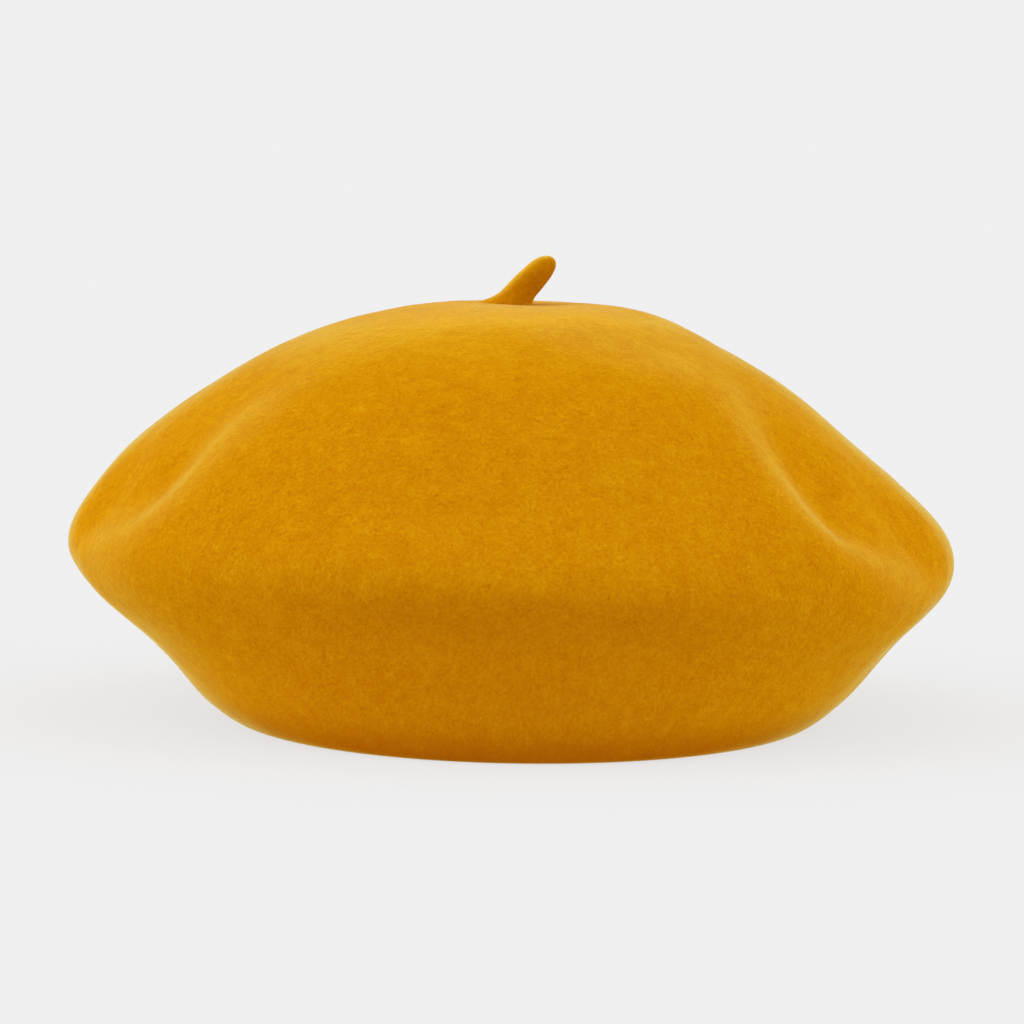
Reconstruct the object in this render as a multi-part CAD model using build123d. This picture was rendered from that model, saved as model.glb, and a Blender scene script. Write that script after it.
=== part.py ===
from build123d import *
import math
import os

# A felted wool beret, standing on the lip of its opening as if on a head.
# Millimetres. +Z is up, -Y is the front, and +X is on the right of someone who faces the front.
# The origin is on the surface that the lip stands on, below the middle of the crown's rim.

# ---- driving dimensions ----
FELT = 2.5                      # thickness of the fulled wool
RIM_HALF_WIDTH = 128.5          # widest outline of the crown, left to right
RIM_HALF_DEPTH = 122.0          # widest outline of the crown, front to back
RIM_HEIGHT = 48.0
TOP_HEIGHT = 120.0

OPENING_HALF_WIDTH = 77.4       # head opening, inside the sweatband
OPENING_HALF_DEPTH = 95.0
OPENING_X = 3.0                 # the crown slouches a little to one side and to the back,
OPENING_Y = -6.0                # so the opening's centre is off the rim's centre

RIBBON = 0.65                   # thickness of the grosgrain ribbon
RIBBON_BOTTOM = 2.0
RIBBON_TOP = 25.5
LAYER_GAP = 0.05                # between cloth layers that lie on each other

HEM_THICKNESS = 2.6             # turned-in felt behind the ribbon
HEM_TOP = 26.0
ELASTIC_THICKNESS = 1.0
ELASTIC_BOTTOM = 7.0
ELASTIC_TOP = 13.0

THREAD_RADIUS = 0.35
STITCH_LENGTH = 4.0
STITCHES_PER_ROW = 44
STITCH_ROW_HEIGHTS = (4.0, 23.2)

TAB_WIDTH = 14.0
TAB_BOTTOM = 2.6
TAB_TOP = 25.0
TAB_STITCH_PITCH = 5.2
TAB_STITCH_LENGTH = 3.0
TAB_STITCHES_PER_SIDE = 4

LABEL_WIDTH = 30.0
LABEL_THICKNESS = 0.5
LABEL_TOP = 23.5
LABEL_FOLD = 20.5               # height of the fold below the label's sewn edge
LABEL_BOTTOM = 4.5
LABEL_STITCH_COUNT = 5

STALK_X = 3.0                   # eye of the crown, where the stalk is rooted
EYE_RADIUS = 3.7
PIVOT_ABOVE_CROWN = 3.2         # the stalk bends just above its root
STALK_ROOT_RADIUS = 4.7
STALK_RADIUS = 3.9
STALK_TIP_RADIUS = 3.2
STALK_LENGTH = 12.6             # from the bend to the end of the tip
STALK_LEAN = 41.0               # degrees from upright, towards +X
STAR_ARMS = 6
STAR_INNER_RADIUS = 1.0
STAR_OUTER_RADIUS = 8.0

# Outline of the felt at rising heights: height, half width, half depth, centre x, centre y.
CROWN_STATIONS = (
    (0.0, 81.8, 98.8, OPENING_X, OPENING_Y),
    (0.6, 83.6, 100.4, OPENING_X, OPENING_Y),
    (2.5, 86.4, 102.2, OPENING_X, OPENING_Y),
    (7.5, 93.0, 104.6, 3.3, -5.8),
    (15.5, 100.6, 108.2, 3.4, -5.0),
    (24.0, 108.8, 112.4, 2.9, -3.5),
    (33.0, 119.3, 117.2, 2.3, -2.0),
    (40.5, 126.0, 120.5, 1.4, -0.5),
    (RIM_HEIGHT, RIM_HALF_WIDTH, RIM_HALF_DEPTH, 0.0, 0.0),
    (55.5, 126.4, 121.0, -1.1, 0.0),
    (64.0, 120.1, 116.5, -2.4, 0.0),
    (76.0, 108.2, 107.0, -4.4, 0.0),
    (88.0, 93.6, 94.5, -4.4, 0.0),
    (99.0, 78.1, 81.0, -3.8, 0.0),
    (108.0, 61.8, 65.5, -3.2, 0.0),
    (115.0, 45.3, 49.5, -1.7, 0.0),
    (118.8, 28.0, 31.0, 0.2, 0.0),
    (TOP_HEIGHT, 11.0, 12.0, STALK_X, 0.0),
)
FIRST_INNER_STATION = 3         # the inner skin follows the outer one from here up
CAVITY_FLOOR = 2.6              # top of the rolled lip, between the wall and the turned-in hem
CAVITY_FLOOR_WIDTH = 1.2        # room between the turned-in hem and the wall there
OUTLINE_POINTS = 24


def oval(height, half_width, half_depth, centre_x, centre_y):
    """A closed smooth outline at one height."""
    points = []
    for i in range(OUTLINE_POINTS):
        angle = 2 * math.pi * i / OUTLINE_POINTS
        x = centre_x + half_width * math.cos(angle)
        y = centre_y + half_depth * math.sin(angle)
        points.append(Vector(x, y, height))
    return Wire([Edge.make_spline(points, periodic=True)])


def outer_skin():
    """The whole outer shape of the crown, as one filled solid."""
    outlines = []
    for station in CROWN_STATIONS:
        outlines.append(oval(*station))
    return Solid.make_loft(outlines)


def inward(size_below, size_above, rise):
    """How far a point moves in and down when the skin between two stations is offset by the felt."""
    slope = size_above - size_below
    length = math.hypot(slope, rise)
    return FELT * rise / length, -FELT * slope / length


def cavity():
    """The hollow inside the felt, from the rolled lip to the underside of the top."""
    outset = RIBBON + LAYER_GAP + HEM_THICKNESS + CAVITY_FLOOR_WIDTH
    floor_width = OPENING_HALF_WIDTH + outset
    floor_depth = OPENING_HALF_DEPTH + outset
    outlines = [oval(CAVITY_FLOOR, floor_width, floor_depth, OPENING_X, OPENING_Y)]
    last = len(CROWN_STATIONS) - 1
    for i in range(FIRST_INNER_STATION, last):
        height, half_width, half_depth, centre_x, centre_y = CROWN_STATIONS[i]
        below = CROWN_STATIONS[i - 1]
        above = CROWN_STATIONS[i + 1]
        rise = above[0] - below[0]
        in_x, down_x = inward(below[1], above[1], rise)
        in_y, down_y = inward(below[2], above[2], rise)
        lower = height - (down_x + down_y) / 2
        outlines.append(oval(lower, half_width - in_x, half_depth - in_y, centre_x, centre_y))
    height, half_width, half_depth, centre_x, centre_y = CROWN_STATIONS[last]
    outlines.append(oval(height - FELT, half_width, half_depth, centre_x, centre_y))
    return Solid.make_loft(outlines)


def opening_prism(outset, bottom, top):
    """A straight oval plug: the head opening widened by outset."""
    outline = oval(
        bottom, OPENING_HALF_WIDTH + outset, OPENING_HALF_DEPTH + outset, OPENING_X, OPENING_Y
    )
    return Solid.extrude(Face(outline), Vector(0, 0, top - bottom))


def opening_ring(inner, outer, bottom, top):
    """A straight oval ring around the head opening, between two outsets."""
    return opening_prism(outer, bottom, top) - opening_prism(inner, bottom - 1, top + 1)


def felt_crown():
    """Top, rim, underside, rolled lip and turned-in hem, in one piece of felt."""
    hem_face = RIBBON + LAYER_GAP
    body = outer_skin() - cavity()
    body = body - opening_prism(hem_face, -1, CAVITY_FLOOR + 1)
    body = body + opening_ring(hem_face, hem_face + HEM_THICKNESS, 1.0, HEM_TOP)
    groove_depth = hem_face + ELASTIC_THICKNESS + 2 * LAYER_GAP
    body = body - opening_ring(
        hem_face - 1, groove_depth, ELASTIC_BOTTOM - LAYER_GAP, ELASTIC_TOP + LAYER_GAP
    )
    eye = Pos(STALK_X, 0, TOP_HEIGHT) * Cylinder(EYE_RADIUS, 4 * FELT)
    return body - eye


def hem_elastic():
    """Flat elastic, lying in the hem behind the ribbon."""
    inner = RIBBON + 2 * LAYER_GAP
    return opening_ring(inner, inner + ELASTIC_THICKNESS, ELASTIC_BOTTOM, ELASTIC_TOP)


def sweatband():
    """Grosgrain ribbon around the inside of the opening."""
    return opening_ring(0, RIBBON, RIBBON_BOTTOM, RIBBON_TOP)


def staple(length, depth):
    """One stitch: a thread that lies along X and dives into the cloth along +Y at both ends."""
    half = length / 2 - THREAD_RADIUS
    bar = Rot(0, 90, 0) * Cylinder(THREAD_RADIUS, 2 * half)
    stitch = bar
    for side in (-half, half):
        stitch += Pos(side, 0, 0) * Sphere(THREAD_RADIUS)
        stitch += Pos(side, depth / 2, 0) * Rot(90, 0, 0) * Cylinder(THREAD_RADIUS, depth)
    return stitch


def on_opening_wall(angle, outset, height):
    """Place a piece on the opening's wall: local +X runs along the wall and local +Y points outwards."""
    x = OPENING_X + (OPENING_HALF_WIDTH + outset) * math.cos(angle)
    y = OPENING_Y + (OPENING_HALF_DEPTH + outset) * math.sin(angle)
    outward = math.atan2(OPENING_HALF_WIDTH * math.sin(angle), OPENING_HALF_DEPTH * math.cos(angle))
    return Pos(x, y, height) * Rot(0, 0, math.degrees(outward) - 90)


def even_angles(count, start_angle):
    """Angles that space a row of stitches evenly along the opening's oval."""
    steps = 3600
    lengths = [0.0]
    for i in range(steps):
        angle = start_angle + 2 * math.pi * (i + 0.5) / steps
        pace = math.hypot(OPENING_HALF_WIDTH * math.sin(angle), OPENING_HALF_DEPTH * math.cos(angle))
        lengths.append(lengths[-1] + pace)
    angles = []
    reached = 0
    for n in range(count):
        wanted = lengths[-1] * (n + 0.5) / count
        while lengths[reached] < wanted:
            reached += 1
        angles.append(start_angle + 2 * math.pi * reached / steps)
    return angles


def sweatband_stitches():
    """Two rows of running stitches through the ribbon and the turned-in hem."""
    stitch = staple(STITCH_LENGTH, RIBBON + 1.2)
    stitches = []
    for height in STITCH_ROW_HEIGHTS:
        for angle in even_angles(STITCHES_PER_ROW, math.pi / 2):
            if on_tab_or_label(angle):
                continue
            stitches.append(on_opening_wall(angle, -THREAD_RADIUS / 2, height) * stitch)
    return Compound(children=stitches)


def on_tab_or_label(angle):
    """Whether a stitch of the ribbon would lie under the join tab or the label."""
    along_x = OPENING_HALF_WIDTH * math.cos(angle)
    along_y = OPENING_HALF_DEPTH * math.sin(angle)
    under_tab = along_y > 0 and abs(along_x) < TAB_WIDTH / 2 + STITCH_LENGTH / 2 + 0.5
    under_label = along_x < 0 and abs(along_y) < LABEL_WIDTH / 2 + STITCH_LENGTH / 2 + 0.5
    return under_tab or under_label


def band_join_tab():
    """Short piece of ribbon over the band's butt join at the centre back."""
    ring = opening_ring(-LAYER_GAP - RIBBON, -LAYER_GAP, TAB_BOTTOM, TAB_TOP)
    window = Pos(OPENING_X, OPENING_Y + OPENING_HALF_DEPTH, 15) * Box(TAB_WIDTH, 30, 40)
    return ring & window


def tab_stitches():
    """Two upright rows of stitches through the tab's side edges."""
    stitch = Rot(0, 90, 0) * staple(TAB_STITCH_LENGTH, 2 * RIBBON + LAYER_GAP)
    stitches = []
    reach = (TAB_WIDTH / 2 - 1.6) / OPENING_HALF_WIDTH
    for side in (-1, 1):
        angle = math.pi / 2 + side * math.asin(reach)
        for row in range(TAB_STITCHES_PER_SIDE):
            height = TAB_BOTTOM + 3.6 + row * TAB_STITCH_PITCH
            place = on_opening_wall(angle, -LAYER_GAP - RIBBON - THREAD_RADIUS / 2, height)
            stitches.append(place * stitch)
    return Compound(children=stitches)


def label_inner_x():
    """X of the face of the label that looks into the hat: it is flat and spans the band's curve."""
    share = LABEL_WIDTH / 2 / OPENING_HALF_DEPTH
    side = OPENING_HALF_WIDTH * math.sqrt(1 - share * share)
    return OPENING_X - side + LAYER_GAP + LABEL_THICKNESS


def label_part(bottom, top):
    """A flat upright piece of the label between two heights."""
    x = label_inner_x() - LABEL_THICKNESS / 2
    return Pos(x, OPENING_Y, (bottom + top) / 2) * Box(LABEL_THICKNESS, LABEL_WIDTH, top - bottom)


def label_edge():
    """The sewn upper edge of the label."""
    return label_part(LABEL_FOLD + LAYER_GAP, LABEL_TOP)


def label_flap():
    """The free part of the label, which lifts about the fold."""
    return label_part(LABEL_BOTTOM, LABEL_FOLD - LAYER_GAP)


def label_stitches():
    """One row of stitches through the label's sewn edge and the ribbon."""
    stitch = Rot(0, 0, 90) * staple(STITCH_LENGTH, 2.2)
    height = (LABEL_FOLD + LABEL_TOP) / 2
    pitch = LABEL_WIDTH / LABEL_STITCH_COUNT
    stitches = []
    for n in range(LABEL_STITCH_COUNT):
        y = OPENING_Y + (n - (LABEL_STITCH_COUNT - 1) / 2) * pitch
        stitches.append(Pos(label_inner_x() + THREAD_RADIUS / 2, y, height) * stitch)
    return Compound(children=stitches)


def stalk():
    """Felt stub with a rounded tip, on a ball that turns in the mouth of the eye."""
    straight = STALK_LENGTH - STALK_TIP_RADIUS
    stub = Pos(0, 0, straight / 2) * Cone(STALK_RADIUS, STALK_TIP_RADIUS, straight)
    stub += Pos(0, 0, straight) * Sphere(STALK_TIP_RADIUS)
    stub += Sphere(STALK_ROOT_RADIUS)
    return Pos(STALK_X, 0, TOP_HEIGHT + PIVOT_ABOVE_CROWN) * Rot(0, STALK_LEAN, 0) * stub


def stalk_stitches():
    """Star of thread on the inside of the crown, around the knot that holds the stalk."""
    level = TOP_HEIGHT - FELT - LAYER_GAP - THREAD_RADIUS
    length = STAR_OUTER_RADIUS - STAR_INNER_RADIUS
    star = Sphere(STAR_INNER_RADIUS + 0.2)
    for n in range(STAR_ARMS):
        arm = Pos((STAR_OUTER_RADIUS + STAR_INNER_RADIUS) / 2, 0, 0) * Rot(0, 90, 0) * Cylinder(
            THREAD_RADIUS, length
        )
        star += Rot(0, 0, 360 * n / STAR_ARMS) * arm
    return Pos(STALK_X, 0, level) * star


NODES = {
    "felt_crown": felt_crown,
    "hem_elastic": hem_elastic,
    "sweatband": sweatband,
    "sweatband_stitches": sweatband_stitches,
    "band_join_tab": band_join_tab,
    "tab_stitches": tab_stitches,
    "label_edge": label_edge,
    "label_flap": label_flap,
    "label_stitches": label_stitches,
    "stalk": stalk,
    "stalk_stitches": stalk_stitches,
}

os.makedirs("parts", exist_ok=True)
for node_name, make in NODES.items():
    export_step(make(), f"parts/{node_name}.step")
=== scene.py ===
import math

import bpy
import numpy as np
from mathutils import Matrix, Vector, noise


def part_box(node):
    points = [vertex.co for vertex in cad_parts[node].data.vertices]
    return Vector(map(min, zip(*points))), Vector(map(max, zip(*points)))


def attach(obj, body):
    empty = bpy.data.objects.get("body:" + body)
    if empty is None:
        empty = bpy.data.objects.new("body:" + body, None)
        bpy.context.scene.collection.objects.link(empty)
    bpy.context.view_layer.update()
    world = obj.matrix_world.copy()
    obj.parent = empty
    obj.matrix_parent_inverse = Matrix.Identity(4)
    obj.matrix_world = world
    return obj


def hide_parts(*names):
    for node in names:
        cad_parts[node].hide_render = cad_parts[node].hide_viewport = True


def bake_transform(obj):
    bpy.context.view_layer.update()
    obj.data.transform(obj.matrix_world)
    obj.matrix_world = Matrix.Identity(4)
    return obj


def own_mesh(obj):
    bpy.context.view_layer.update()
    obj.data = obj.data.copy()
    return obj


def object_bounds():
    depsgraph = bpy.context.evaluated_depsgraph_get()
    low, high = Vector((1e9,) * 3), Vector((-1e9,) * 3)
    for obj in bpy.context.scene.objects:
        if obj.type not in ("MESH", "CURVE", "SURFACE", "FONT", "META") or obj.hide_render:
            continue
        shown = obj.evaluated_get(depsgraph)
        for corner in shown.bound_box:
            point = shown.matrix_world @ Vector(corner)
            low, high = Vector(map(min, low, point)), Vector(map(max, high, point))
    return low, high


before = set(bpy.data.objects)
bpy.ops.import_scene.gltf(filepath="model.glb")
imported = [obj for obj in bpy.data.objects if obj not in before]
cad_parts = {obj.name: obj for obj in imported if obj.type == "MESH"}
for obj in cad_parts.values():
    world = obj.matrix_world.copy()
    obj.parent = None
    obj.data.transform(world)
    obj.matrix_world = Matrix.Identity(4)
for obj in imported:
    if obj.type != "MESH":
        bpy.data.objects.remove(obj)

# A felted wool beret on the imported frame. Metres, +Z up, -Y the front.
# The felt, the ribbon, the elastic, the label and the stalk are cloth meshes; the stitches are the CAD's own.

cad_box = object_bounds()

# ---- sizes of the cloth, in metres ----
FELT = 0.0025
OPENING_X, OPENING_Y = 0.003, -0.006
OPENING_HALF_WIDTH = 0.0774      # to the ribbon's inner face
OPENING_HALF_DEPTH = 0.095
LAYER_GAP = 0.00005              # between two layers that lie on each other
HEM_THICKNESS = 0.0026
CHANNEL_DEPTH = 0.0011           # of the channel in the hem that holds the elastic
RIBBON = 0.00065
RIBBON_BOTTOM, RIBBON_TOP = 0.0020, 0.0255
RIBBON_RIB, RIBBON_RIB_DEPTH = 0.0009, 0.00011
ELASTIC = 0.001
ELASTIC_BOTTOM, ELASTIC_TOP = 0.007, 0.013
ELASTIC_RIB, ELASTIC_RIB_DEPTH = 0.0016, 0.00015
LABEL_THICKNESS = 0.0004
LABEL_CURL = 0.0006              # of its lower corners
LABEL_WAVE, LABEL_WAVES = 0.00015, 420                   # depth of its waves, and radians of them in a metre
CAVITY_FLOOR = 0.0026            # top of the rolled lip
CAVITY_WIDTH = 0.0012            # room between the hem and the crown's wall there
WALL_START = 0.0065              # height where the felt's inner skin starts to follow the outer one
# The lip where it rolls under and up to the ribbon: distance outside the ribbon's inner face, and height.
LIP_ROLL = ((0.0030, 0.0), (0.0021, 0.00005), (0.0014, 0.0003), (0.0009, 0.0009),
            (RIBBON + LAYER_GAP, 0.0017))

# Outline of the felt from the eye down to the lip: height, half width, half depth, centre x and y.
CROWN_STATIONS = (
    (0.1198, 0.0000, 0.0000, 0.0030, 0.0000),
    (0.1195, 0.0135, 0.0135, 0.0028, 0.0000),
    (0.1186, 0.0290, 0.0318, 0.0018, 0.0000),
    (0.1150, 0.0452, 0.0495, -0.0006, 0.0000),
    (0.1080, 0.0618, 0.0655, -0.0032, 0.0000),
    (0.0990, 0.0781, 0.0810, -0.0038, 0.0000),
    (0.0880, 0.0936, 0.0945, -0.0044, 0.0000),
    (0.0760, 0.1082, 0.1070, -0.0044, 0.0000),
    (0.0640, 0.1201, 0.1165, -0.0024, 0.0000),
    (0.0555, 0.1264, 0.1210, -0.0011, 0.0000),
    (0.0480, 0.1285, 0.1220, 0.0000, 0.0000),
    (0.0405, 0.1263, 0.1205, 0.0014, -0.0005),
    (0.0330, 0.1198, 0.1172, 0.0023, -0.0020),
    (0.0240, 0.1093, 0.1124, 0.0029, -0.0035),
    (0.0155, 0.1010, 0.1082, 0.0034, -0.0050),
    (0.0075, 0.0936, 0.1048, 0.0033, -0.0058),
    (0.0025, 0.0874, 0.1028, 0.0034, -0.0060),
    (0.0006, 0.0840, 0.1012, 0.0034, -0.0060),
    (0.0000, 0.0822, 0.0996, 0.0034, -0.0060),
)
CROWN_COLUMNS = 448
ROW_STEP = 0.00175               # between rows of the outer skin
LIP_STEP = 0.0008                # finer rows around the lip
LIP_LENGTH = 0.012
INNER_ROW_EVERY = 3

# Lines on the crown. Points are (azimuth in degrees, distance from the eye along the felt).
RIGHT_CREST = ((-26, 0.060), (-31, 0.072), (-38, 0.087), (-43, 0.103), (-44.5, 0.121),
               (-44, 0.141), (-38, 0.152), (-27, 0.160), (-14, 0.164))
LEFT_CREST = ((229, 0.072), (223, 0.089), (220, 0.102), (220, 0.120), (216, 0.138),
              (205, 0.151), (192, 0.158))
FRONT_EDGE = ((230, 0.145), (244, 0.149), (257, 0.152), (270, 0.154), (283, 0.1555), (300, 0.1585),
              (316, 0.161))
LOW_EDGE = ((-70, 0.194), (-63, 0.190), (-53, 0.181), (-43, 0.172), (-36, 0.166))
TOP_SWEEP = ((-92, 0.048), (-75, 0.052), (-60, 0.057), (-47, 0.066), (-39, 0.079), (-38, 0.092))
BACK_CREST = ((62, 0.078), (55, 0.100), (50, 0.124), (47, 0.146), (44, 0.166))
BACK_CREST_2 = ((128, 0.084), (137, 0.108), (141, 0.132), (138, 0.152), (130, 0.166))

# Folds: line, side its crest is on, crest's height, valley's depth and reach, shift away, brushed width.
FOLDS = (
    (RIGHT_CREST, 1, 0.0018, 0.0042, 0.016, 0.0040, 0.0095),
    (LEFT_CREST, -1, 0.0015, 0.0034, 0.014, 0.0025, 0.0160),
    (BACK_CREST, -1, 0.0012, 0.0030, 0.018, 0.0, 0.0095),
    (BACK_CREST_2, 1, 0.0010, 0.0026, 0.020, 0.0, 0.0095),
)
CREST_AWAY, CREST_OUTER, CREST_INNER = 0.006, 0.016, 0.0085      # crest's distance from the line, its widths
VALLEY_AWAY, VALLEY_INNER = 0.011, 0.010                         # the valley lies on the line's other side
BRUSHED_INNER = 0.006

# Plain ridges: line, height, width.
RIDGES = ((FRONT_EDGE, 0.0028, 0.007), (LOW_EDGE, 0.0012, 0.006))
TOP_SWEEP_WIDTH = 0.010
# Shallow dips across the front: distance from the eye, depth, width.
FRONT_DIPS = ((0.128, 0.0014, 0.012), (0.170, 0.0022, 0.009))
FRONT_SPREAD = 0.62              # radians
# Distance from the eye where unevenness comes in and is full, and where it begins to fade and is gone.
WALL_FADES = (0.010, 0.040, 0.196, 0.208)
SMALL_FADES = (0.205, 0.211)
# Unevenness of the felt: size of its lumps and how high they are. Behind, the large ones are higher.
LARGE_LUMPS, LARGE_HEIGHT, LARGE_BEHIND = 0.052, 0.0003, 0.0011
MIDDLE_LUMPS, MIDDLE_HEIGHT = 0.021, 0.00035
SMALL_LUMPS, SMALL_HEIGHT = 0.0062, 0.00011
# The felt around the stalk: a shallow dimple, a skirt drawn up on its left, and a painted shadow to its
# right.
DIMPLE_X, DIMPLE_Y, DIMPLE_DEPTH, DIMPLE_WIDTH = 0.003, -0.002, 0.0008, 0.009
SKIRT_X, SKIRT_Y, SKIRT_HEIGHT, SKIRT_WIDTH, SKIRT_STRETCH = -0.009, 0.002, 0.0004, 0.006, 0.7
SHADE_X, SHADE_Y, SHADE_MOST, SHADE_WIDTH = 0.006, -0.003, 0.75, 0.0075


def natural_spline(knots, values, at):
    """A natural cubic spline through values at knots, read at each of `at`."""
    knots, values = np.asarray(knots, float), np.asarray(values, float)
    count, gap = len(knots), np.diff(knots)
    system, right = np.zeros((count, count)), np.zeros_like(values)
    system[0, 0] = system[-1, -1] = 1
    for i in range(1, count - 1):
        system[i, i - 1:i + 2] = gap[i - 1], 2 * (gap[i - 1] + gap[i]), gap[i]
        right[i] = 6 * ((values[i + 1] - values[i]) / gap[i] - (values[i] - values[i - 1]) / gap[i - 1])
    bend = np.linalg.solve(system, right)
    cell = np.clip(np.searchsorted(knots, at) - 1, 0, count - 2)
    along = (at - knots[cell])[:, None]
    width = gap[cell][:, None]
    slope = (values[cell + 1] - values[cell]) / width - (2 * bend[cell] + bend[cell + 1]) * width / 6
    rise = bend[cell] * along ** 2 / 2 + (bend[cell + 1] - bend[cell]) / (6 * width) * along ** 3
    return values[cell] + slope * along + rise


def smooth_step(low, high, value):
    share = np.clip((value - low) / (high - low), 0, 1)
    return share * share * (3 - 2 * share)


def bell(value, width):
    return np.exp(-value ** 2 / (2 * width ** 2))


def value_noise(points, size, seed):
    """Smooth noise of about -1 to 1 at each point, with lumps about `size` across."""
    shift = Vector((seed * 7.31, seed * 3.17, seed * 5.53))
    flat = points.reshape(-1, 3) / size
    found = [noise.noise(Vector(p) + shift) for p in flat]
    return np.array(found).reshape(points.shape[:-1])


# ---- meshes ----
def make_mesh(name, vertices, faces, material):
    mesh = bpy.data.meshes.new(name)
    mesh.from_pydata([tuple(v) for v in vertices], [], faces)
    mesh.validate()
    mesh.polygons.foreach_set("use_smooth", [True] * len(mesh.polygons))
    mesh.materials.append(material)
    piece = bpy.data.objects.new(name, mesh)
    bpy.context.scene.collection.objects.link(piece)
    return piece


def mark_vertices(piece, name, values):
    """Writes values for the material to read on a piece's first vertices, and 0 on the rest."""
    whole = np.zeros(len(piece.data.vertices), np.float32)
    whole[:len(values)] = values
    piece.data.attributes.new(name, "FLOAT", "POINT").data.foreach_set("value", whole)


def grid_faces(rows, columns, close_rows=False, close_columns=True):
    """Quads of a grid of rows by columns of vertices."""
    faces = []
    for r in range(rows if close_rows else rows - 1):
        below = (r + 1) % rows
        for c in range(columns if close_columns else columns - 1):
            right = (c + 1) % columns
            faces.append((r * columns + c, r * columns + right, below * columns + right, below * columns + c))
    return faces


def line_distance(points, line):
    """Signed distance of flat points from a smooth line through `line`, and the share along it."""
    line = np.array(line, float)
    step = np.hypot(*np.diff(line, axis=0).T)
    knots = np.concatenate([[0], np.cumsum(step)])
    at = np.linspace(0, knots[-1], 90)
    dense = natural_spline(knots, line, at)
    away = points[:, None, :] - dense[None]
    nearest = np.argmin((away ** 2).sum(-1), axis=1)
    tangent = np.gradient(dense, axis=0)
    tangent /= np.linalg.norm(tangent, axis=1)[:, None]
    picked = np.arange(len(points))
    gap, along = away[picked, nearest], tangent[nearest]
    side = np.sign(along[:, 0] * gap[:, 1] - along[:, 1] * gap[:, 0])
    return side * np.hypot(*gap.T), at[nearest] / at[-1]


def flatten(azimuth, length):
    """The felt laid flat: its eye at the centre, and each point at its own azimuth and distance."""
    return np.stack([length * np.cos(azimuth), length * np.sin(azimuth)], -1)


def from_line(flat, line):
    """Each flat point's signed distance from a line on the crown, and its share along it."""
    degrees, length = np.array(line, float).T
    away, share = line_distance(flat.reshape(-1, 2), flatten(np.radians(degrees), length))
    return away.reshape(flat.shape[:-1]), share.reshape(flat.shape[:-1])


def fold(flat, crest, side, lift, drop, reach, shift, brush):
    """One soft fold: its height, and how far its crest brushes up the nap."""
    away, share = from_line(flat, crest)
    away = away * side - shift
    fade = smooth_step(0, 0.45, share) * (1 - smooth_step(0.80, 1.0, share))
    past_crest, past_valley = away + CREST_AWAY, away - VALLEY_AWAY
    raised = lift * bell(past_crest, np.where(past_crest < 0, CREST_OUTER, CREST_INNER))
    valley = drop * bell(past_valley, np.where(past_valley < 0, VALLEY_INNER, reach))
    brushed = smooth_step(0, 0.2, share) * (1 - smooth_step(0.72, 0.95, share))
    brushed = brushed * bell(away, np.where(away < 0, brush, BRUSHED_INNER))
    return fade * (raised - valley), brushed


def ridge(flat, line, height, width):
    """A plain soft ridge that fades out at both ends."""
    away, share = from_line(flat, line)
    return height * bell(away, width) * smooth_step(0, 0.3, share) * (1 - smooth_step(0.7, 1, share))


def crown_rows():
    """The stations joined by a smooth meridian: its rows, and each row's distance from the eye."""
    stations = np.array(CROWN_STATIONS)
    step = np.hypot(np.diff(stations[:, 0]), np.diff((stations[:, 1] + stations[:, 2]) / 2))
    knots = np.concatenate([[0], np.cumsum(step)])
    lip = knots[-1] - LIP_LENGTH
    body = np.linspace(0, lip, round(lip / ROW_STEP) + 1)
    edge = np.linspace(lip, knots[-1], round(LIP_LENGTH / LIP_STEP) + 1)
    at = np.concatenate([body[1:], edge[1:]])
    return natural_spline(knots, stations, at), at


def surface_normals(grid):
    """Outward unit normals of the outer skin, given as rows by columns of points."""
    down = np.gradient(grid, axis=0)
    across = np.roll(grid, -1, 1) - np.roll(grid, 1, 1)
    found = np.cross(down, across)
    return found / np.linalg.norm(found, axis=-1)[..., None]


def plain_crown(rows, azimuth):
    """The crown without its folds, as rows by columns of points."""
    return np.stack([
        rows[:, 3:4] + rows[:, 1:2] * np.cos(azimuth),
        rows[:, 4:5] + rows[:, 2:3] * np.sin(azimuth),
        rows[:, 0:1] + 0 * azimuth,
    ], -1)


def felt_relief(grid, azimuth, down):
    """How far each point of the plain crown stands out or in, and how far its nap is brushed up."""
    flat = flatten(azimuth[None, :], down)
    front = bell(np.angle(np.exp(1j * (azimuth + math.pi / 2))), FRONT_SPREAD)[None, :]
    behind = smooth_step(0.1, 0.6, np.sin(azimuth))[None, :]
    folds = [fold(flat, *sizes) for sizes in FOLDS]
    height = sum(found for found, _ in folds)
    brushed = np.max([found for _, found in folds] + [ridge(flat, TOP_SWEEP, 1.0, TOP_SWEEP_WIDTH)], axis=0)
    height += sum(ridge(flat, *sizes) for sizes in RIDGES)
    for place, depth, width in FRONT_DIPS:
        height -= front * depth * bell(down - place, width)
    start, full, still_full, end = WALL_FADES
    wall = smooth_step(start, full, down) * (1 - smooth_step(still_full, end, down))
    height += wall * (LARGE_HEIGHT + LARGE_BEHIND * behind) * value_noise(grid, LARGE_LUMPS, 1)
    height += wall * MIDDLE_HEIGHT * value_noise(grid, MIDDLE_LUMPS, 2)
    height += SMALL_HEIGHT * (1 - smooth_step(*SMALL_FADES, down)) * value_noise(grid, SMALL_LUMPS, 3)
    x, y = grid[..., 0], grid[..., 1]
    height -= DIMPLE_DEPTH * bell(np.hypot(x - DIMPLE_X, y - DIMPLE_Y), DIMPLE_WIDTH)
    height += SKIRT_HEIGHT * bell(np.hypot((x - SKIRT_X) * SKIRT_STRETCH, y - SKIRT_Y), SKIRT_WIDTH)
    return height, brushed


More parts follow.
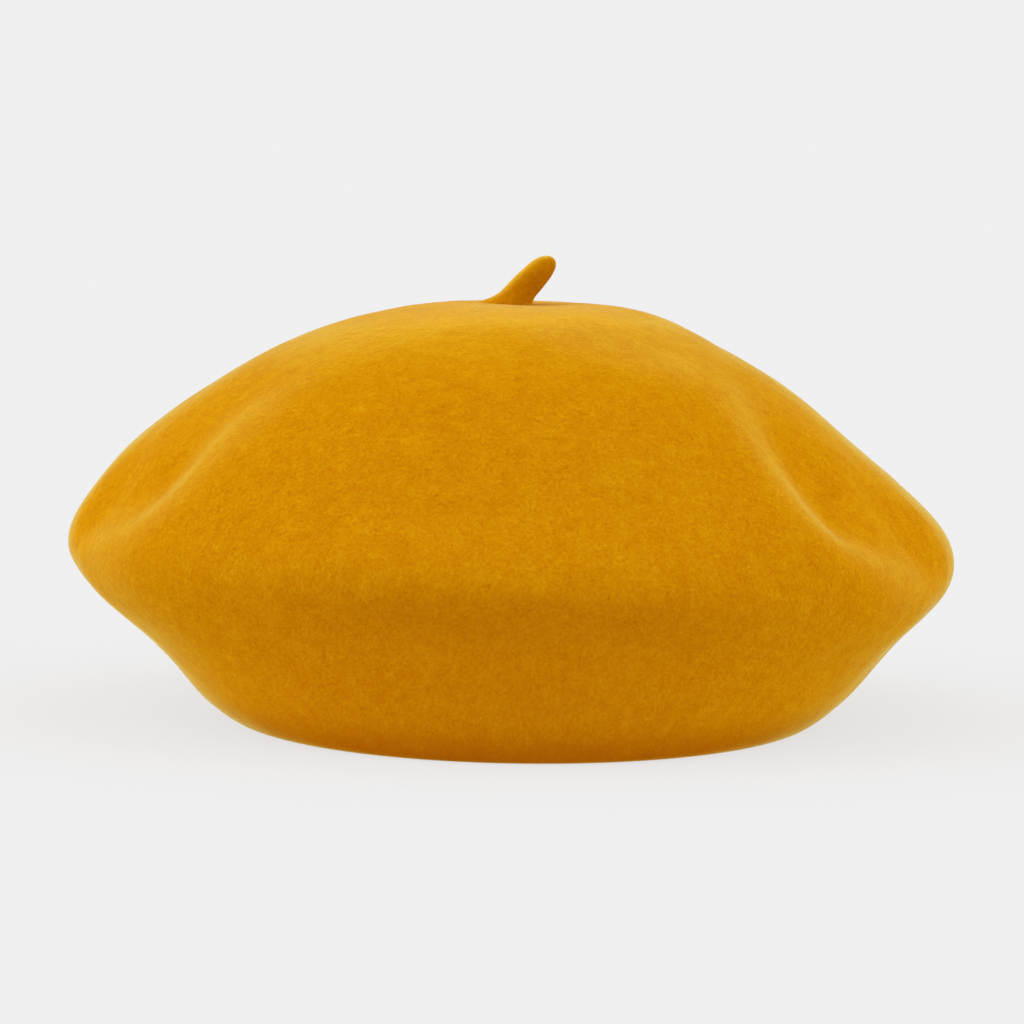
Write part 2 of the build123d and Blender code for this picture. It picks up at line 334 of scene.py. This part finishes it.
def outer_skin():
    """The felt's outer surface as rows by columns: points, normals, brushed nap and the painted shadow beside
    the stalk.
    """
    rows, length = crown_rows()
    azimuth = 2 * math.pi * np.arange(CROWN_COLUMNS) / CROWN_COLUMNS
    plain = plain_crown(rows, azimuth)
    height, brushed = felt_relief(plain, azimuth, length[:, None])
    grid = plain + surface_normals(plain) * height[..., None]
    # Painted shadow on the crown, to the right of the stalk's root.
    shade = SHADE_MOST * bell(np.hypot(grid[..., 0] - SHADE_X, grid[..., 1] - SHADE_Y), SHADE_WIDTH)
    return grid, surface_normals(grid), brushed, shade


def wall_ring(azimuth, outset, height):
    """A ring around the head opening, `outset` outside the ribbon's inner face."""
    return np.stack([
        OPENING_X + (OPENING_HALF_WIDTH + outset) * np.cos(azimuth),
        OPENING_Y + (OPENING_HALF_DEPTH + outset) * np.sin(azimuth),
        height + 0 * azimuth,
    ], -1)


def felt_shell(material):
    """Crown, rim, underside and rolled lip as one closed skin of felt."""
    azimuth = 2 * math.pi * np.arange(CROWN_COLUMNS) / CROWN_COLUMNS
    outer, normals, brushed, shade = outer_skin()
    hem_face = RIBBON + LAYER_GAP
    hem_back = hem_face + HEM_THICKNESS
    turned_in = LIP_ROLL + ((hem_face, CAVITY_FLOOR), (hem_back, CAVITY_FLOOR),
                            (hem_back + CAVITY_WIDTH, CAVITY_FLOOR))
    lip = [wall_ring(azimuth, outset, height) for outset, height in turned_in]
    inner = outer - normals * FELT
    wall = [r for r in range(len(outer)) if outer[r, :, 2].min() > WALL_START][::INNER_ROW_EVERY]
    inner_rows = [inner[r] for r in reversed(wall)]
    eye_out = outer[0].mean(0)
    eye_in = inner_rows[-1].mean(0)
    rings = np.concatenate([outer, np.array(lip), np.array(inner_rows)])
    count = len(rings)
    vertices = np.concatenate([rings.reshape(-1, 3), [eye_out, eye_in]])
    faces = grid_faces(count, CROWN_COLUMNS)
    top, under = len(vertices) - 2, len(vertices) - 1
    last = (count - 1) * CROWN_COLUMNS
    for c in range(CROWN_COLUMNS):
        right = (c + 1) % CROWN_COLUMNS
        faces.append((top, right, c))
        faces.append((under, last + c, last + right))
    shell = make_mesh("felt_shell", vertices, faces, material)
    mark_vertices(shell, "brushed", brushed.ravel())
    # The painted shadow beside the stalk, for the material to darken.
    mark_vertices(shell, "stub", shade.ravel())
    return shell


# ---- bands around the opening ----
def even_azimuths(count, start=0.0, end=2 * math.pi):
    """Azimuths that space columns evenly along the opening's oval. A whole turn leaves its end out."""
    dense = np.linspace(start, end, 6001)
    middle = (dense[1:] + dense[:-1]) / 2
    pace = np.hypot(OPENING_HALF_WIDTH * np.sin(middle), OPENING_HALF_DEPTH * np.cos(middle))
    length = np.concatenate([[0], np.cumsum(pace * np.diff(dense))])
    whole = abs(end - start - 2 * math.pi) < 1e-9
    return np.interp(np.linspace(0, length[-1], count, endpoint=not whole), length, dense), length[-1]


def swept_band(name, profile, columns, material, rib_pitch=None, rib_depth=0.0, span=None):
    """A closed profile of (outset, height, side) swept around the opening, with ribs on sides -1 and 1."""
    whole = span is None
    azimuth, length = even_azimuths(columns, *(span or (0.0, 2 * math.pi)))
    count = round(length / rib_pitch) if rib_pitch else 0
    phase = 2 * math.pi * count * np.arange(columns) / (columns if whole else columns - 1)
    wave = 0.5 + 0.5 * np.cos(phase)
    rings = [wall_ring(azimuth, outset + side * rib_depth * (wave - 1), height)
             for outset, height, side in profile]
    vertices = np.concatenate(rings)
    rows = len(profile)
    faces = grid_faces(rows, columns, close_rows=True, close_columns=whole)
    if not whole:
        faces.append([r * columns for r in range(rows)])
        faces.append([r * columns + columns - 1 for r in reversed(range(rows))])
    return make_mesh(name, vertices, faces, material)


def band_profile(inner, outer, bottom, top, rows):
    """Upright cloth: its inner face from bottom to top, then its outer face back down."""
    edge = (outer - inner) * 0.35
    heights = np.linspace(bottom + edge, top - edge, rows)
    middle = (inner + outer) / 2
    return ([(inner, h, -1) for h in heights] + [(middle, top, 0)]
            + [(outer, h, 1) for h in heights[::-1]] + [(middle, bottom, 0)])


def felt_hem(material):
    """The felt turned in behind the ribbon, with the channel that holds the elastic."""
    face, back = RIBBON + LAYER_GAP, RIBBON + LAYER_GAP + HEM_THICKNESS
    channel = face + CHANNEL_DEPTH
    profile = [(face, h, 0) for h in (0.00265, 0.0045, 0.0066)]
    profile += [(channel, h, 0) for h in (0.0069, 0.0085, 0.0115, 0.0131)]
    profile += [(face, h, 0) for h in (0.0134, 0.0165, 0.0200, 0.0235, 0.0250)]
    rounded_top = [(face + 0.0005, 0.0257, 0), (face + 0.0013, 0.0260, 0), (back - 0.0005, 0.0257, 0)]
    profile += rounded_top
    profile += [(back, h, 0) for h in (0.0250, 0.0210, 0.0160, 0.0110, 0.0060, 0.00265)]
    return swept_band("felt_turned_in_hem", profile, 360, material)


# ---- stalk ----
# Outline of the stalk from its root to its tip: left x and height, right x and height, half depth.
# Heights are above the crown's top.
STALK_STATIONS = (
    (-0.0130, -0.0010, 0.0064, -0.0032, 0.0040),
    (-0.0098, -0.0002, 0.0060, -0.0020, 0.0042),
    (-0.0064, 0.0010, 0.0059, -0.0008, 0.0043),
    (-0.0034, 0.0030, 0.0063, 0.0006, 0.0043),
    (-0.0009, 0.0056, 0.0075, 0.0024, 0.0041),
    (0.0033, 0.0098, 0.0094, 0.0047, 0.0039),
    (0.0055, 0.0116, 0.0108, 0.0067, 0.0036),
    (0.0072, 0.0126, 0.0118, 0.0084, 0.0032),
    (0.0090, 0.0132, 0.0125, 0.0103, 0.0024),
    (0.0105, 0.0133, 0.0124, 0.0117, 0.0013),
)
STALK_TIP = (0.0117, 0.0128)
STALK_SHIFT = -0.0007            # of the whole outline, sideways
STALK_RINGS = 46
STALK_COLUMNS = 44
STALK_PLAIN_RINGS = 6            # at the root, without lumps
STALK_LUMPS, STALK_UNEVEN = 0.0035, 0.035


def felt_stalk(material, crown_top):
    """A felted stub that leans to one side and spreads into the crown at its root."""
    stations = np.array(STALK_STATIONS)
    centre = (stations[:, 0:2] + stations[:, 2:4]) / 2
    knots = np.concatenate([[0], np.cumsum(np.hypot(*np.diff(centre, axis=0).T))])
    rings = natural_spline(knots, stations, np.linspace(0, knots[-1], STALK_RINGS))
    turn = 2 * math.pi * np.arange(STALK_COLUMNS) / STALK_COLUMNS
    across, deep = (1 - np.cos(turn))[None, :] / 2, np.sin(turn)[None, :]
    x = rings[:, 0:1] + (rings[:, 2:3] - rings[:, 0:1]) * across
    z = rings[:, 1:2] + (rings[:, 3:4] - rings[:, 1:2]) * across + crown_top
    x = x + STALK_SHIFT
    y = rings[:, 4:5] * deep
    points = np.stack([x, y + 0 * x, z], -1)
    middle = points.mean(1, keepdims=True)
    lump = 1 + STALK_UNEVEN * value_noise(points, STALK_LUMPS, 5)[..., None]
    lump[:STALK_PLAIN_RINGS] = 1
    points = middle + (points - middle) * lump
    tip_point = (STALK_TIP[0] + STALK_SHIFT, 0, STALK_TIP[1] + crown_top)
    vertices = np.concatenate([points.reshape(-1, 3), [tip_point, middle[0, 0]]])
    faces = grid_faces(STALK_RINGS, STALK_COLUMNS)
    tip, root = len(vertices) - 2, len(vertices) - 1
    last = (STALK_RINGS - 1) * STALK_COLUMNS
    for c in range(STALK_COLUMNS):
        right = (c + 1) % STALK_COLUMNS
        faces.append((tip, last + c, last + right))
        faces.append((root, right, c))
    stalk = make_mesh("felt_stalk", vertices, [f[::-1] for f in faces], material)
    brushed = np.repeat((0.55 + 0.45 * np.cos(turn))[None, :], STALK_RINGS, 0).ravel()
    above_root = np.repeat(smooth_step(5, 22, np.arange(STALK_RINGS)), STALK_COLUMNS)
    mark_vertices(stalk, "brushed", np.append(brushed, [1, 1]))
    mark_vertices(stalk, "stub", np.append(above_root, [1, 0]))
    return stalk


# ---- label ----
def woven_label(material):
    """A blank folded label: sewn along its top edge, free below, its lower corners a little curled."""
    low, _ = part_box("label_flap")
    _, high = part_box("label_edge")
    columns, rows = 31, 20
    y = np.linspace(low.y, high.y, columns)[None, :]
    z = np.linspace(high.z, low.z, rows)[:, None]
    share_down = np.linspace(0, 1, rows)[:, None]
    corner = (np.abs(np.linspace(-1, 1, columns)) ** 3)[None, :]
    curl = LABEL_CURL * share_down ** 3 * corner
    wave = LABEL_WAVE * share_down ** 2 * np.sin(y * LABEL_WAVES)
    back = low.x + LAYER_GAP + curl + wave + 0 * z
    sides = [np.stack([x, y + 0 * x, z + 0 * x], -1) for x in (back + LABEL_THICKNESS, back)]
    vertices = np.concatenate([s.reshape(-1, 3) for s in sides])
    faces = grid_faces(rows, columns, close_columns=False)
    faces += [tuple(v + rows * columns for v in f[::-1]) for f in faces]
    rim = ([c for c in range(columns)] + [r * columns + columns - 1 for r in range(1, rows)]
           + [(rows - 1) * columns + c for c in range(columns - 2, -1, -1)]
           + [r * columns for r in range(rows - 2, 0, -1)])
    for a, b in zip(rim, rim[1:] + rim[:1]):
        faces.append((b, a, a + rows * columns, b + rows * columns))
    return make_mesh("woven_label", vertices, faces, material)


# ---- materials ----
def linear(red, green, blue):
    """A colour given as screen values of 0 to 255, as linear light."""
    def one(value):
        value /= 255
        return value / 12.92 if value <= 0.04045 else ((value + 0.055) / 1.055) ** 2.4
    return one(red), one(green), one(blue), 1.0


class Shader:
    """A material built node by node; a value given as a socket is linked."""

    def __init__(self, name):
        self.material = bpy.data.materials.new(name)
        self.material.use_nodes = True
        self.tree = self.material.node_tree
        self.tree.nodes.clear()
        self.place = self.add("ShaderNodeTexCoord").outputs["Object"]

    def add(self, kind, inputs=None, **settings):
        node = self.tree.nodes.new(kind)
        for key, value in settings.items():
            setattr(node, key, value)
        for key, value in (inputs or {}).items():
            if isinstance(value, bpy.types.NodeSocket):
                self.tree.links.new(value, node.inputs[key])
            else:
                node.inputs[key].default_value = value
        return node

    def math(self, operation, a, b=0.0, c=0.0):
        return self.add("ShaderNodeMath", {0: a, 1: b, 2: c}, operation=operation).outputs[0]

    def vector(self, operation, a, b):
        return self.add("ShaderNodeVectorMath", {0: a, 1: b}, operation=operation).outputs[0]

    def noise(self, place, size, detail=2.0, roughness=0.5, kind="Fac"):
        """Noise whose lumps are about `size` metres across."""
        node = self.add("ShaderNodeTexNoise",
                        {"Vector": place, "Scale": 1 / size, "Detail": detail, "Roughness": roughness})
        return node.outputs[kind]

    def weighted(self, *terms):
        """0.5 plus each noise's distance from 0.5 times its weight."""
        total = 0.5
        for socket, weight in terms:
            total = self.math("MULTIPLY_ADD", socket, weight, self.math("SUBTRACT", total, weight / 2)
                              if isinstance(total, bpy.types.NodeSocket) else total - weight / 2)
        return total

    def mix(self, share, a, b):
        node = self.add("ShaderNodeMix", data_type="RGBA", blend_type="MIX")
        for index, value in ((0, share), (6, a), (7, b)):
            if isinstance(value, bpy.types.NodeSocket):
                self.tree.links.new(value, node.inputs[index])
            else:
                node.inputs[index].default_value = value
        return node.outputs[2]

    def ramp(self, value, *stops):
        node = self.add("ShaderNodeValToRGB", {"Fac": value})
        while len(node.color_ramp.elements) < len(stops):
            node.color_ramp.elements.new(0.5)
        for element, (position, colour) in zip(node.color_ramp.elements, stops):
            element.position, element.color = position, colour
        return node.outputs["Color"]

    def step(self, value, low, high, to_low, to_high):
        """A smooth change from to_low to to_high as the value goes from low to high."""
        ranges = {"Value": value, "From Min": low, "From Max": high, "To Min": to_low, "To Max": to_high}
        return self.add("ShaderNodeMapRange", ranges, interpolation_type="SMOOTHSTEP").outputs[0]

    def bump(self, height, distance, strength=1.0):
        inputs = {"Height": height, "Distance": distance, "Strength": strength}
        return self.add("ShaderNodeBump", inputs).outputs[0]

    def split(self, vector):
        """The X, Y and Z of a vector."""
        return self.add("ShaderNodeSeparateXYZ", {"Vector": vector}).outputs

    def mark(self, name):
        """A value that the mesh holds on its vertices."""
        return self.add("ShaderNodeAttribute", attribute_name=name).outputs["Fac"]

    def surface(self, **inputs):
        named = {key.replace("_", " "): value for key, value in inputs.items()}
        shader = self.add("ShaderNodeBsdfPrincipled", named)
        self.add("ShaderNodeOutputMaterial", {"Surface": shader.outputs[0]})
        return self.material


# Colours of the wool, as linear light.
WOOL = ((0.1, (0.487, 0.149, 0.0004, 1)), (0.5, (0.572, 0.231, 0.0010, 1)), (0.9, (0.662, 0.335, 0.0040, 1)))
FLECK = (0.42, 0.12, 0.001, 1)
# Painted shade on the lip and below the rim.
PAINTED_LIP_SHADE = (0.38, 0.098, 0.001, 1)
PAINTED_LOW_SHADE = (0.50, 0.09, 0.001, 1)
# The stalk's deeper tone, also used for the painted shadow on the crown beside its root.
STALK_TONE_AND_SHADOW = (0.30, 0.055, 0.0004, 1)

# Sizes in metres.
FIBRE, FIBRE_STRETCH = 0.00075, 0.16         # width of a fibre, and its width over its length
FIBRE_TURNS = ((0.3, 0.5, 0.4), (1.1, -0.5, 1.8), (-0.6, 1.2, 2.7))
SWIRL, SWIRL_REACH = 0.011, 0.008            # curls that the fibres follow
GRAIN, CLUMP, PATCH, CLOUD = 0.0009, 0.0034, 0.011, 0.042
FLECK_SIZE, FLECK_RARE, FLECK_EDGE, FLECK_MOST = 0.0016, 0.675, 8.0, 0.38
LIP_TOP, LIP_SHADE_MOST = 0.013, 0.75              # painted shade grows from this height down to the table
LOW_SHADE_TOP, LOW_SHADE_FULL, LOW_SHADE_MOST = 0.053, 0.042, 0.20      # painted shade below the rim, at the front and back
LOW_SHADE_X, LOW_SHADE_INNER, LOW_SHADE_OUTER, LOW_SHADE_LEAST = -0.008, 0.035, 0.09, 0.15    # it fades sideways
STALK_DEPTH = 0.30                           # how much deeper the stalk's tone is, and the painted shadow beside its root

BRUSHED_NAP = 0.28               # how much the nap on a crest stands up, as extra glancing angle
BRUSHED_MOST = 0.74              # the most that a crest's nap stands up
TOP_NAP = 0.72                   # weight of the nap on the top and on the crests
NAP_BLUE = 0.38                  # how pale the nap's tips are


def felt_colour(s):
    """Dyed wool, mottled, of crossing fibres, with a few dark ones, painted shade on the lip and below the
    rim, and the stalk's deeper tone with painted shadow beside it: its colour and relief.
    """
    swirl = s.vector("SUBTRACT", s.noise(s.place, SWIRL, 2.0, kind="Color"), (0.5, 0.5, 0.5))
    curled = s.vector("ADD", s.place, s.vector("MULTIPLY", swirl, (SWIRL_REACH,) * 3))
    fibres = []
    for turn in FIBRE_TURNS:
        laid = s.add("ShaderNodeVectorRotate", {"Vector": curled, "Rotation": turn},
                     rotation_type="EULER_XYZ").outputs[0]
        stretched = s.vector("MULTIPLY", laid, (FIBRE_STRETCH, 1.0, 1.0))
        fibres.append(s.noise(stretched, FIBRE, 3.0, 0.6))
    crossing = s.math("MULTIPLY", s.math("ADD", s.math("ADD", fibres[0], fibres[1]), fibres[2]), 1 / 3)
    grain = s.noise(s.place, GRAIN, 3.0, 0.65)
    clump = s.noise(s.place, CLUMP, 2.0, 0.55)
    patch = s.noise(s.place, PATCH, 2.0, 0.5)
    cloud = s.noise(s.place, CLOUD, 2.0, 0.5)
    tone = s.weighted((crossing, 1.0), (grain, 0.95), (clump, 0.40), (patch, 0.28), (cloud, 0.10))
    colour = s.ramp(tone, *WOOL)

    rare = s.math("SUBTRACT", s.noise(curled, FLECK_SIZE, 2.0, 0.5), FLECK_RARE)
    dark = s.math("MINIMUM", s.math("MAXIMUM", s.math("MULTIPLY", rare, FLECK_EDGE), 0.0), FLECK_MOST)
    colour = s.mix(dark, colour, FLECK)

    across, _, height_up = s.split(s.place)
    uneven = s.math("ADD", patch, 0.5)
    # Painted shade, mottled by the patch noise: darker towards the lip, where the felt rolls under.
    lip_shade = s.step(height_up, LIP_TOP, 0.0, 0.0, LIP_SHADE_MOST)
    colour = s.mix(s.math("MULTIPLY", lip_shade, uneven), colour, PAINTED_LIP_SHADE)
    # Painted shade below the rim, strongest at the front and back and fading towards the sides, also mottled.
    sideways = s.math("ABSOLUTE", s.math("SUBTRACT", across, LOW_SHADE_X))
    low_shade = s.math("MULTIPLY", s.step(height_up, LOW_SHADE_TOP, LOW_SHADE_FULL, 0.0, LOW_SHADE_MOST),
                     s.step(sideways, LOW_SHADE_INNER, LOW_SHADE_OUTER, 1.0, LOW_SHADE_LEAST))
    colour = s.mix(s.math("MULTIPLY", low_shade, uneven), colour, PAINTED_LOW_SHADE)
    # The stalk's deeper tone, and on the crown the painted shadow beside its root.
    colour = s.mix(s.math("MULTIPLY", s.mark("stub"), STALK_DEPTH), colour, STALK_TONE_AND_SHADOW)
    return colour, s.weighted((crossing, 1.0), (grain, 0.5), (clump, 0.8))


def felt_nap(s):
    """The fine hair on the felt, pale at glancing angles: its weight, tint and spread."""
    stub, brushed = s.mark("stub"), s.mark("brushed")
    facing = s.add("ShaderNodeLayerWeight", {"Blend": 0.5}).outputs["Facing"]
    raised = s.math("MULTIPLY_ADD", brushed, BRUSHED_NAP, facing)
    raised = s.math("MAXIMUM", facing, s.math("MINIMUM", raised, BRUSHED_MOST))
    steep = s.split(s.add("ShaderNodeNewGeometry").outputs["Normal"])["Z"]

    # Thickest on the top and on the crests, thinnest below the rim.
    up = s.step(steep, 0.72, 0.95, 0.0, 1.0)
    down = s.step(steep, -0.15, -0.55, 0.0, 0.22)
    most = s.math("SUBTRACT", s.math("MULTIPLY_ADD", up, -0.50, 1.25), down)
    soft_nap = s.math("MULTIPLY", s.math("MAXIMUM", up, brushed), s.step(raised, 0.20, 0.70, 0.0, TOP_NAP))
    nap = s.math("MAXIMUM", s.math("MULTIPLY", s.math("POWER", raised, 4.0), most), soft_nap)

    # Pressed down on the stalk's far side and on the flat of the top.
    bare = s.math("MULTIPLY", stub, s.math("SUBTRACT", 1.0, brushed))
    nap = s.math("MULTIPLY", nap, s.math("MULTIPLY_ADD", bare, -0.6, 1.0))
    flat_top = s.step(steep, 0.92, 0.98, 0.0, 1.0)
    pressed = s.math("MULTIPLY", flat_top, s.step(raised, 0.68, 0.90, 0.0, 0.50))
    nap = s.math("MULTIPLY", nap, s.math("SUBTRACT", 1.0, pressed))

    tint = s.add("ShaderNodeCombineColor", {
        "Red": s.step(raised, 0.70, 0.95, 1.0, 0.84),
        "Green": s.step(raised, 0.70, 0.95, 0.80, 0.83),
        "Blue": s.math("MULTIPLY", s.math("POWER", raised, 4.2), NAP_BLUE)}).outputs[0]
    spread = s.math("MULTIPLY_ADD", s.math("MULTIPLY", stub, brushed), 0.45, 0.4)
    return nap, tint, spread


def felt_material(name):
    """Fulled wool, without any gloss."""
    s = Shader(name)
    colour, relief = felt_colour(s)
    nap, tint, spread = felt_nap(s)
    return s.surface(
        Base_Color=colour, Roughness=0.95, Specular_IOR_Level=0.0, Normal=s.bump(relief, 0.0007, 0.5),
        Sheen_Weight=nap, Sheen_Roughness=spread, Sheen_Tint=tint, Diffuse_Roughness=0.5)


MEAN_RADIUS = 0.086              # of the opening


def cloth_material(name, dark, light, thread, roughness=0.6):
    """A fine plain weave of threads `thread` apart, with uneven dye."""
    s = Shader(name)
    x, y, z = s.split(s.place)
    around = s.math("ARCTAN2", y, x)
    turns = s.math("SINE", s.math("MULTIPLY", around, 2 * math.pi * MEAN_RADIUS / thread))
    levels = s.math("SINE", s.math("MULTIPLY", z, 2 * math.pi / thread))
    weave = s.math("MULTIPLY_ADD", turns, 0.25, s.math("MULTIPLY_ADD", levels, 0.25, 0.5))
    wear = s.noise(s.place, 0.006, 3.0, 0.6)
    fuzz = s.noise(s.place, 0.0005, 2.0, 0.6)
    tone = s.weighted((weave, 0.6), (wear, 0.7), (fuzz, 0.5))
    colour = s.ramp(tone, (0.1, dark), (0.9, light))
    return s.surface(
        Base_Color=colour, Roughness=s.math("MULTIPLY_ADD", fuzz, 0.2, roughness - 0.1),
        Specular_IOR_Level=0.3, Normal=s.bump(tone, 0.00025, 0.6), Sheen_Weight=0.15, Sheen_Roughness=0.4)


def thread_material(name, dark, light):
    """Two-ply sewing thread: slanting plies and short loose fibres."""
    s = Shader(name)
    plies = s.add("ShaderNodeTexWave", {"Vector": s.place, "Scale": 620.0, "Distortion": 0.6, "Detail": 1.0},
                  wave_type="BANDS", bands_direction="DIAGONAL").outputs["Fac"]
    fuzz = s.noise(s.place, 0.0003, 3.0, 0.6)
    tone = s.weighted((plies, 0.7), (fuzz, 0.5))
    colour = s.ramp(tone, (0.1, dark), (0.9, light))
    return s.surface(Base_Color=colour, Roughness=0.55, Specular_IOR_Level=0.35,
                     Normal=s.bump(tone, 0.0002, 0.7), Sheen_Weight=0.2)


# ---- build the pieces ----
felt = felt_material("fulled_wool")
ribbon = cloth_material("grosgrain", linear(150, 96, 10), linear(205, 142, 30), 0.0005)
label_cloth = cloth_material("label_weave", linear(196, 186, 160), linear(236, 228, 206), 0.00035, 0.5)
elastic = cloth_material("elastic_weave", linear(205, 200, 190), linear(240, 236, 226), 0.0007)
thread = thread_material("sewing_thread", linear(160, 98, 12), linear(226, 160, 45))

crown_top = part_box("felt_crown")[1].z
shell = felt_shell(felt)
hem = felt_hem(felt)
stalk = felt_stalk(felt, crown_top)
label = woven_label(label_cloth)
sweatband = swept_band(
    "grosgrain_sweatband", band_profile(0.0, RIBBON, RIBBON_BOTTOM, RIBBON_TOP, 7), 2416, ribbon,
    rib_pitch=RIBBON_RIB, rib_depth=RIBBON_RIB_DEPTH)
elastic_face = RIBBON + 2 * LAYER_GAP
elastic_band = swept_band(
    "woven_elastic", band_profile(elastic_face, elastic_face + ELASTIC, ELASTIC_BOTTOM, ELASTIC_TOP, 5),
    1400, elastic, rib_pitch=ELASTIC_RIB, rib_depth=ELASTIC_RIB_DEPTH)
tab_low, tab_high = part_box("band_join_tab")
tab_reach = (tab_high.x - tab_low.x) / 2 / OPENING_HALF_WIDTH
tab = swept_band(
    "ribbon_join_tab", band_profile(-RIBBON - LAYER_GAP, -LAYER_GAP, tab_low.z, tab_high.z, 7), 64, ribbon,
    rib_pitch=RIBBON_RIB, rib_depth=RIBBON_RIB_DEPTH,
    span=(math.pi / 2 - math.asin(tab_reach), math.pi / 2 + math.asin(tab_reach)))

for node in ("sweatband_stitches", "tab_stitches", "label_stitches", "stalk_stitches"):
    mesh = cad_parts[node].data
    mesh.materials.clear()
    mesh.materials.append(thread)

# ---- bodies and the hidden CAD stand-ins ----
for piece in (shell, hem, sweatband, elastic_band, tab):
    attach(piece, "band")
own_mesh(shell)
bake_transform(stalk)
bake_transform(label)
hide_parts("felt_crown")
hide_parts("felt_crown")
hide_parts("stalk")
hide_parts("label_edge", "label_flap")
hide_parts("sweatband")
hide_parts("hem_elastic")
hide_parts("band_join_tab")

# ---- studio ----
BACKDROP = 0.863                 # linear light of the pale backdrop
# What the soft boxes add to it overhead, on the left, on the right and behind the camera.
OVERHEAD, LEFT_BOX, RIGHT_BOX, CAMERA_SIDE = 0.12, 0.45, 0.12, -0.14
FLOOR_GLOW = 0.70                # light that the lit table gives off itself
FLOOR_ALBEDO = 0.132             # and how much of the studio's light it gives back
FLOOR_HALF_SIZE = 40.0
FLOOR_DROP = 0.0002              # below the hat's lowest point

# Suns: name, power, angle of the soft box in degrees, and where it stands.
SUNS = (
    ("overhead_softbox", 0.41, 70, (-0.1, -0.5, 1.0)),
    ("left_softbox", 1.35, 40, (-1.0, -0.2, 0.22)),
    ("right_softbox", 1.40, 40, (1.0, -0.2, 0.15)),
)
CAMERA_DISTANCE, CAMERA_AIM = 1.3, 0.0586    # from the hat's axis, and the height it looks at
CAMERA_ELEVATION, CAMERA_ROLL = math.radians(5.04), math.radians(0.74)
VIEW_WIDTH, SENSOR_WIDTH = 0.2983, 36        # metres seen across at the axis, and millimetres


def studio_world():
    """A pale studio: even near the horizon, brighter overhead, darker behind the camera."""
    world = bpy.data.worlds.new("studio")
    bpy.context.scene.world = world
    world.use_nodes = True
    tree = world.node_tree
    tree.nodes.clear()

    def add(kind, **settings):
        node = tree.nodes.new(kind)
        for key, value in settings.items():
            setattr(node, key, value)
        return node

    def range_of(socket, low, high, to_low, to_high):
        node = add("ShaderNodeMapRange", interpolation_type="SMOOTHSTEP")
        tree.links.new(socket, node.inputs["Value"])
        for key, value in (("From Min", low), ("From Max", high), ("To Min", to_low), ("To Max", to_high)):
            node.inputs[key].default_value = value
        return node.outputs[0]

    def combine(operation, a, b):
        node = add("ShaderNodeMath", operation=operation)
        for index, value in enumerate((a, b)):
            if isinstance(value, bpy.types.NodeSocket):
                tree.links.new(value, node.inputs[index])
            else:
                node.inputs[index].default_value = value
        return node.outputs[0]

    direction = add("ShaderNodeSeparateXYZ")
    tree.links.new(add("ShaderNodeTexCoord").outputs["Generated"], direction.inputs[0])
    above = range_of(direction.outputs["Z"], 0.09, 0.30, 0.0, 1.0)
    overhead = range_of(direction.outputs["Z"], 0.50, 0.95, 0.0, OVERHEAD)
    left = range_of(direction.outputs["X"], -0.35, -0.80, 0.0, LEFT_BOX)
    sides = combine("ADD", left, range_of(direction.outputs["X"], 0.35, 0.80, 0.0, RIGHT_BOX))
    front = range_of(direction.outputs["Y"], -0.35, -0.85, 0.0, CAMERA_SIDE)
    boxes = combine("MULTIPLY", above, combine("ADD", overhead, sides))
    light = combine("ADD", BACKDROP, combine("ADD", boxes, front))
    background = add("ShaderNodeBackground")
    background.inputs["Color"].default_value = (1, 1, 1, 1)
    tree.links.new(light, background.inputs["Strength"])
    output = add("ShaderNodeOutputWorld")
    tree.links.new(background.outputs[0], output.inputs["Surface"])


def floor_material():
    s = Shader("lit_table")
    diffuse = s.add("ShaderNodeBsdfDiffuse", {"Color": (FLOOR_ALBEDO,) * 3 + (1.0,), "Roughness": 0.0})
    glow = s.add("ShaderNodeEmission", {"Color": (1, 1, 1, 1), "Strength": FLOOR_GLOW})
    both = s.add("ShaderNodeAddShader", {0: diffuse.outputs[0], 1: glow.outputs[0]})
    s.add("ShaderNodeOutputMaterial", {"Surface": both.outputs[0]})
    return s.material


def studio_floor():
    """A large pale table, lit from inside as a product table is, so that shadows on it stay faint."""
    reach = FLOOR_HALF_SIZE
    corners = [(-reach, -reach, 0), (reach, -reach, 0), (reach, reach, 0), (-reach, reach, 0)]
    floor = make_mesh("floor", corners, [(0, 1, 2, 3)], floor_material())
    floor.location.z = cad_box[0].z - FLOOR_DROP


def soft_sun(name, power, angle, direction):
    light = bpy.data.lights.new(name, "SUN")
    light.energy = power
    light.angle = math.radians(angle)
    lamp = bpy.data.objects.new(name, light)
    bpy.context.scene.collection.objects.link(lamp)
    lamp.rotation_mode = "QUATERNION"
    lamp.rotation_quaternion = (-Vector(direction)).to_track_quat("-Z", "Y")


def studio_camera():
    """A long lens, a little above the hat and straight in front of it, held very slightly turned."""
    aim = Vector((0.0, 0.0, CAMERA_AIM))
    back = Vector((0, -math.cos(CAMERA_ELEVATION), math.sin(CAMERA_ELEVATION)))
    data = bpy.data.cameras.new("camera")
    data.sensor_width = SENSOR_WIDTH
    data.lens = SENSOR_WIDTH * CAMERA_DISTANCE / VIEW_WIDTH
    data.clip_start, data.clip_end = 0.05, 100
    camera = bpy.data.objects.new("camera", data)
    bpy.context.scene.collection.objects.link(camera)
    look = (-back).to_track_quat("-Z", "Y").to_matrix().to_4x4()
    place = Matrix.Translation(aim + back * CAMERA_DISTANCE)
    camera.matrix_world = place @ look @ Matrix.Rotation(CAMERA_ROLL, 4, "Z")
    bpy.context.scene.camera = camera


studio_world()
studio_floor()
for sun in SUNS:
    soft_sun(*sun)
studio_camera()
bpy.context.scene.view_settings.view_transform = "Standard"
